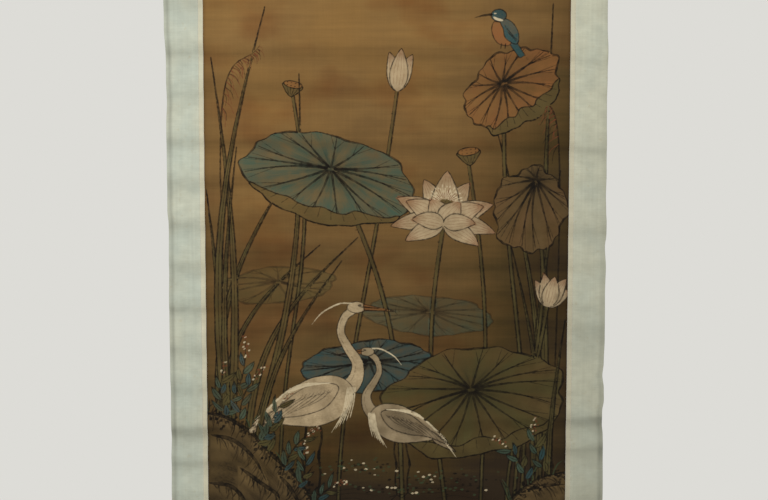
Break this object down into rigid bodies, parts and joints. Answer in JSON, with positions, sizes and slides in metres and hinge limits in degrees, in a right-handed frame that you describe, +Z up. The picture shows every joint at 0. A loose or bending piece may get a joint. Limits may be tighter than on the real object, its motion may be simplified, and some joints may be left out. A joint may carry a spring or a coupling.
{
  "type": "hanging scroll",
  "caption": "Hanging scroll: a tall picture panel of backed silk with narrow cream filets in a plain celadon silk mount, hanging in soft cross ripples from its top edge.",
  "frame": {"origin": "middle of the top edge, where the scroll is held", "axes": "+Z up along the drop, +X to the right as seen from the front, the painted front faces -Y"},
  "size_m": [0.6073, 0.0127, 1.7136],
  "materials": {
    "painted_silk": "aged brown silk, matte, painted in ink and mineral colours",
    "filet_silk": "cream silk, matte",
    "mount_silk": "pale celadon plain-woven silk, matte"
  },
  "bodies": {
    "root": {"painted_panel": "painted_silk", "filet_left": "filet_silk", "filet_right": "filet_silk", "filet_top": "filet_silk", "filet_bottom": "filet_silk", "border_left": "mount_silk", "border_right": "mount_silk", "head_panel": "mount_silk", "foot_panel": "mount_silk"}
  },
  "joints": []
}
